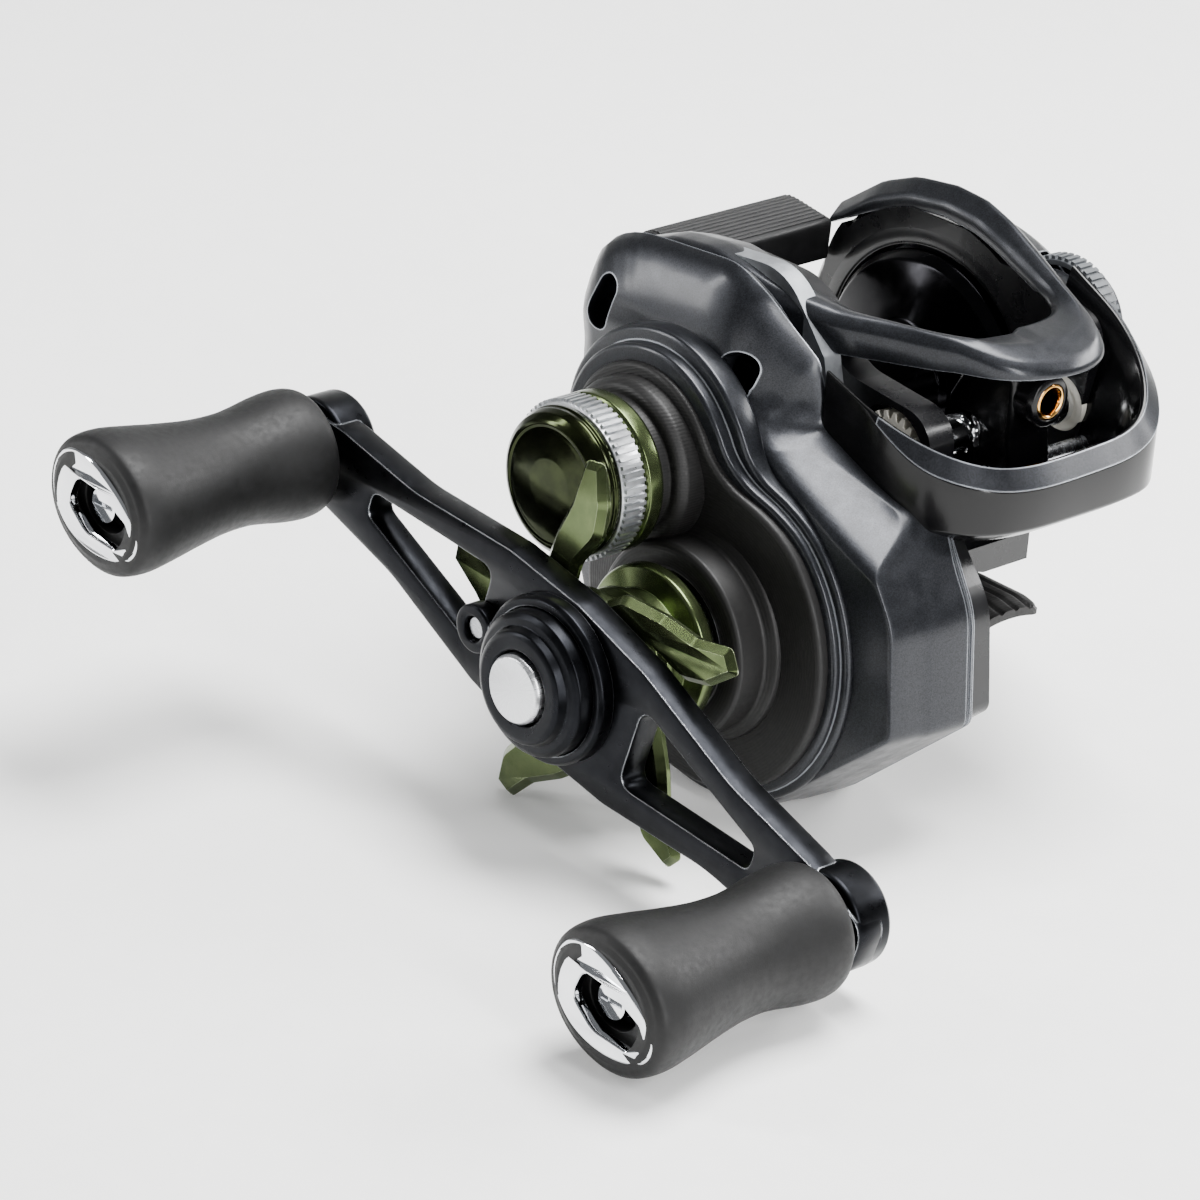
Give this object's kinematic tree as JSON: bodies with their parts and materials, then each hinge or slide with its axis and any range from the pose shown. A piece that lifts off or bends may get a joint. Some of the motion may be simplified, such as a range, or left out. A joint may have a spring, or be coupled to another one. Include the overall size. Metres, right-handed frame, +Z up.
{
  "type": "baitcasting reel",
  "caption": "Low-profile baitcasting fishing reel, right-hand retrieve: crank handle with paddle knobs, star drag, gear train, spool, line guide and hooded frame on a rod foot.",
  "frame": {"origin": "crown of the foot's saddle-curved underside, at the middle of the spool's width and under the spool axis", "axes": "+X forward to the rod tip, +Y to the palm side away from the handle, +Z up; the handle, spool and worm axes lie along Y"},
  "size_m": [0.0982, 0.1085, 0.0589],
  "materials": {
    "graphite_paint": "satin metallic graphite with fine flake",
    "gloss_black": "gloss",
    "matt_black": "matt, faintly warm",
    "cast_aluminium": "as cast",
    "steel": "ground",
    "black_steel": "blackened",
    "bearing_steel": "ground and polished",
    "white_nylon": "moulded",
    "brass": "machined",
    "carbon_washer": "woven carbon",
    "ribbed_grey": "moulded with fine ribs",
    "dark_anodised": "dark anodised, bright chamfers",
    "bright_aluminium": "turned",
    "chrome": "polished",
    "grip_rubber": "matt foam rubber skin",
    "green_anodised": "olive green anodised",
    "green_gloss": "dark olive, polished",
    "gold_ring": "polished, gold coloured",
    "spool_black": "black anodised, polished",
    "dial_grey": "moulded knurl"
  },
  "bodies": {
    "frame": {"frame": "graphite_paint", "nose_cover": "gloss_black", "top_hood": "graphite_paint", "gear_side_cover": "graphite_paint", "gear_housing": "matt_black", "set_plate": "cast_aluminium", "reel_foot": "matt_black", "foot_rivets": "steel", "cover_screws": "black_steel", "guide_rod": "steel", "worm_bushes": "white_nylon", "idler_pin": "steel", "drive_shaft_bearing": "bearing_steel", "pinion_bearing": "bearing_steel", "spool_end_bearing": "bearing_steel", "roller_clutch": "bearing_steel", "yoke_posts": "steel"},
    "clutch_yoke": {"clutch_yoke": "brass"},
    "clutch_cam": {"clutch_cam": "white_nylon"},
    "thumb_bar": {"thumb_bar": "ribbed_grey", "thumb_link": "steel"},
    "pinion": {"pinion": "brass"},
    "handle": {"drive_shaft": "steel", "drive_gear": "brass", "ratchet": "steel", "drag_washers": "carbon_washer", "pressure_plate": "steel", "spring_washers": "steel", "clutch_sleeve": "steel", "level_wind_gear": "white_nylon", "handle_arm": "dark_anodised", "handle_nut": "dark_anodised", "nut_cap": "bright_aluminium", "nut_retainer": "dark_anodised", "retainer_screw": "steel", "knob_posts": "steel", "knob_screws": "chrome"},
    "knob_rear": {"knob_grip_rear": "grip_rubber", "knob_cap_rear": "chrome"},
    "knob_front": {"knob_grip_front": "grip_rubber", "knob_cap_front": "chrome"},
    "star_drag": {"star_drag": "green_anodised"},
    "intermediate_gear": {"intermediate_gear": "white_nylon"},
    "worm": {"worm_shaft": "chrome", "worm_gear": "white_nylon"},
    "line_guide": {"guide_block": "gloss_black", "guide_insert": "gold_ring", "guide_pawl": "steel", "pawl_cap": "brass"},
    "spool": {"spool": "spool_black", "spool_shaft": "steel", "spool_pin": "steel", "brake_rotor": "white_nylon"},
    "tension_knob": {"tension_base": "green_anodised", "tension_ring": "bright_aluminium", "tension_cap": "green_gloss"},
    "palm_cover": {"palm_cover": "graphite_paint", "palm_bearing": "bearing_steel", "brake_drum": "bright_aluminium"},
    "brake_dial": {"brake_dial": "dial_grey"}
  },
  "joints": [
    {"name": "handle_turn", "type": "hinge", "parent": "frame", "child": "handle", "pos_m": [0.0098, -0.03, 0.0001], "axis": [0, 1, 0], "continuous": true},
    {"name": "star_turn", "type": "hinge", "parent": "handle", "child": "star_drag", "pos_m": [0.0098, -0.04, 0.0001], "axis": [0, 1, 0], "range_deg": [-180, 180]},
    {"name": "knob_rear_spin", "type": "hinge", "parent": "handle", "child": "knob_rear", "pos_m": [-0.03072, -0.066, 0.01113], "axis": [0, 1, 0], "continuous": true},
    {"name": "knob_front_spin", "type": "hinge", "parent": "handle", "child": "knob_front", "pos_m": [0.05033, -0.066, -0.01093], "axis": [0, 1, 0], "continuous": true},
    {"name": "spool_spin", "type": "hinge", "parent": "frame", "child": "spool", "pos_m": [0, 0, 0.0165], "axis": [0, 1, 0], "continuous": true},
    {"name": "thumb_press", "type": "slide", "parent": "frame", "child": "thumb_bar", "axis": [0, 0, -1], "range_m": [0, 0.0055]},
    {"name": "cam_turn", "type": "hinge", "parent": "frame", "child": "clutch_cam", "pos_m": [0, -0.018, 0.0165], "axis": [0, 1, 0], "range_deg": [0, 18.5]},
    {"name": "yoke_slide", "type": "slide", "parent": "frame", "child": "clutch_yoke", "axis": [0, -1, 0], "range_m": [0, 0.00191]},
    {"name": "pinion_spin", "type": "hinge", "parent": "clutch_yoke", "child": "pinion", "pos_m": [0, -0.02, 0.0165], "axis": [0, 1, 0], "continuous": true},
    {"name": "intermediate_turn", "type": "hinge", "parent": "frame", "child": "intermediate_gear", "pos_m": [0.01561, -0.014, 0.01173], "axis": [0, 1, 0], "continuous": true},
    {"name": "worm_turn", "type": "hinge", "parent": "frame", "child": "worm", "pos_m": [0.02, 0, 0.02049], "axis": [0, 1, 0], "continuous": true},
    {"name": "guide_slide", "type": "slide", "parent": "frame", "child": "line_guide", "axis": [0, 1, 0], "range_m": [-0.0078, 0.0078]},
    {"name": "tension_turn", "type": "hinge", "parent": "frame", "child": "tension_knob", "pos_m": [0, -0.042, 0.0165], "axis": [0, 1, 0], "range_deg": [-180, 180]},
    {"name": "palm_open", "type": "slide", "parent": "frame", "child": "palm_cover", "axis": [0, 1, 0], "range_m": [0, 0.02]},
    {"name": "dial_turn", "type": "hinge", "parent": "palm_cover", "child": "brake_dial", "pos_m": [0.012, 0.02, 0.0253], "axis": [0, 1, 0], "range_deg": [-150, 150]}
  ],
  "couplings": [
    {"joint": "spool_spin", "follows": "handle_turn", "ratio": -7.2},
    {"joint": "pinion_spin", "follows": "handle_turn", "ratio": -7.2},
    {"joint": "intermediate_turn", "follows": "handle_turn", "ratio": -1.4074},
    {"joint": "worm_turn", "follows": "handle_turn", "ratio": 1.7273},
    {"joint": "cam_turn", "follows": "thumb_press", "rad_per_m": 57},
    {"joint": "yoke_slide", "follows": "thumb_press", "ratio": 0.345}
  ]
}
